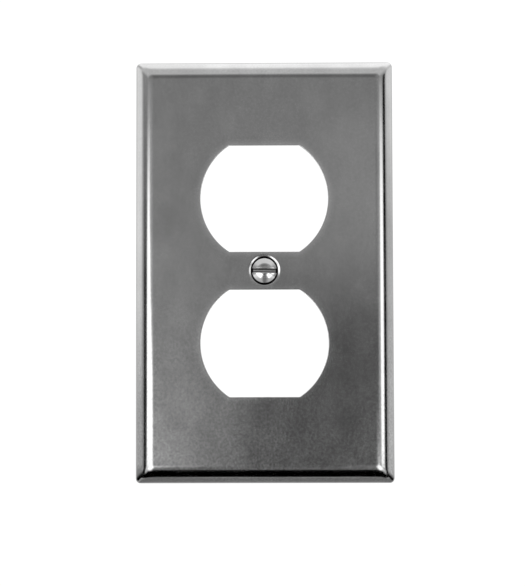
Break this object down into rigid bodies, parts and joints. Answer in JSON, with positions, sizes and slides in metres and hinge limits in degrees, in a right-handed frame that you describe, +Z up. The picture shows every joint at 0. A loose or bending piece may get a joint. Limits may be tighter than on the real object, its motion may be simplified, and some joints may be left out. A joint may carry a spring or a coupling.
{
  "type": "wall plate cover",
  "caption": "Stainless sheet wall plate with flat-topped round receptacle openings, a formed edge and a captive slotted screw in a central dimple.",
  "frame": {"origin": "on the mounting screw's axis, in the plane of the wall that the back rim rests on", "axes": "the front faces -Y, +Z is up, +X is to the right as seen from the front"},
  "size_m": [0.0698, 0.009, 0.1142],
  "materials": {
    "satin_steel": "satin, fine uneven grain",
    "bright_steel": "bright, polished crown",
    "nylon": "natural, slightly cloudy"
  },
  "bodies": {
    "plate": {"wall_plate": "satin_steel"},
    "washer": {"retaining_washer": "nylon"},
    "screw": {"mounting_screw": "bright_steel"}
  },
  "joints": [
    {"name": "screw_float", "type": "slide", "parent": "plate", "child": "washer", "axis": [0, -1, 0], "range_m": [0, 0.0019]},
    {"name": "screw_turn", "type": "hinge", "parent": "washer", "child": "screw", "pos_m": [0, 0, 0], "axis": [0, -1, 0], "continuous": true}
  ]
}
